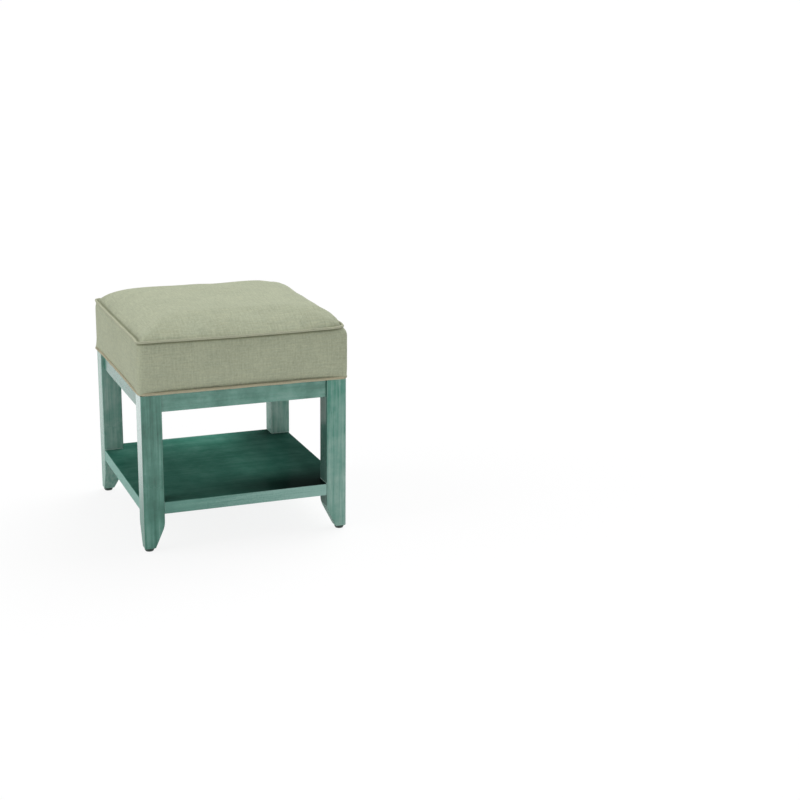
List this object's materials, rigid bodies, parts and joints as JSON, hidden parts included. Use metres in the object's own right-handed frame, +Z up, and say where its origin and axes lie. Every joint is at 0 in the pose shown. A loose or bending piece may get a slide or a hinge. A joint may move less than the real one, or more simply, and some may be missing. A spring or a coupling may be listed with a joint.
{
  "type": "cube ottoman",
  "caption": "Cube-shaped ottoman: a square wooden frame with tapered feet and an open lower shelf, topped by a crowned fabric seat with welted edges.",
  "frame": {"origin": "centre of the footprint, on the floor under the glides", "axes": "+Z up, -Y towards the front, +X to the right seen from the front"},
  "size_m": [0.457, 0.457, 0.4925],
  "materials": {
    "stained_wood": "blue-green stain under satin lacquer",
    "bare_wood": "bare hardwood",
    "plywood": "bare plywood",
    "cover_fabric": "plain sage linen weave",
    "welt_fabric": "plain sage linen weave over cord",
    "lining": "thin black lining cloth",
    "foam": "cut foam",
    "fibre": "loose white fibre",
    "glide_plastic": "dark moulded",
    "steel": "zinc plated"
  },
  "bodies": {
    "root": {"apron_front": "stained_wood", "apron_left": "stained_wood", "apron_rear": "stained_wood", "apron_right": "stained_wood", "bottom_welt": "welt_fabric", "boxing_front": "cover_fabric", "boxing_left": "cover_fabric", "boxing_rear": "cover_fabric", "boxing_right": "cover_fabric", "corner_block_front_left": "bare_wood", "corner_block_front_right": "bare_wood", "corner_block_rear_left": "bare_wood", "corner_block_rear_right": "bare_wood", "dust_cover": "lining", "fibre_wrap": "fibre", "foam_core": "foam", "glide_front_left": "glide_plastic", "glide_front_right": "glide_plastic", "glide_nails": "steel", "glide_rear_left": "glide_plastic", "glide_rear_right": "glide_plastic", "leg_front_left": "stained_wood", "leg_front_right": "stained_wood", "leg_rear_left": "stained_wood", "leg_rear_right": "stained_wood", "pull_strip_front": "lining", "pull_strip_left": "lining", "pull_strip_rear": "lining", "pull_strip_right": "lining", "seat_board": "plywood", "seat_screws": "steel", "shelf": "stained_wood", "top_panel": "cover_fabric", "top_welt": "welt_fabric"}
  },
  "joints": []
}
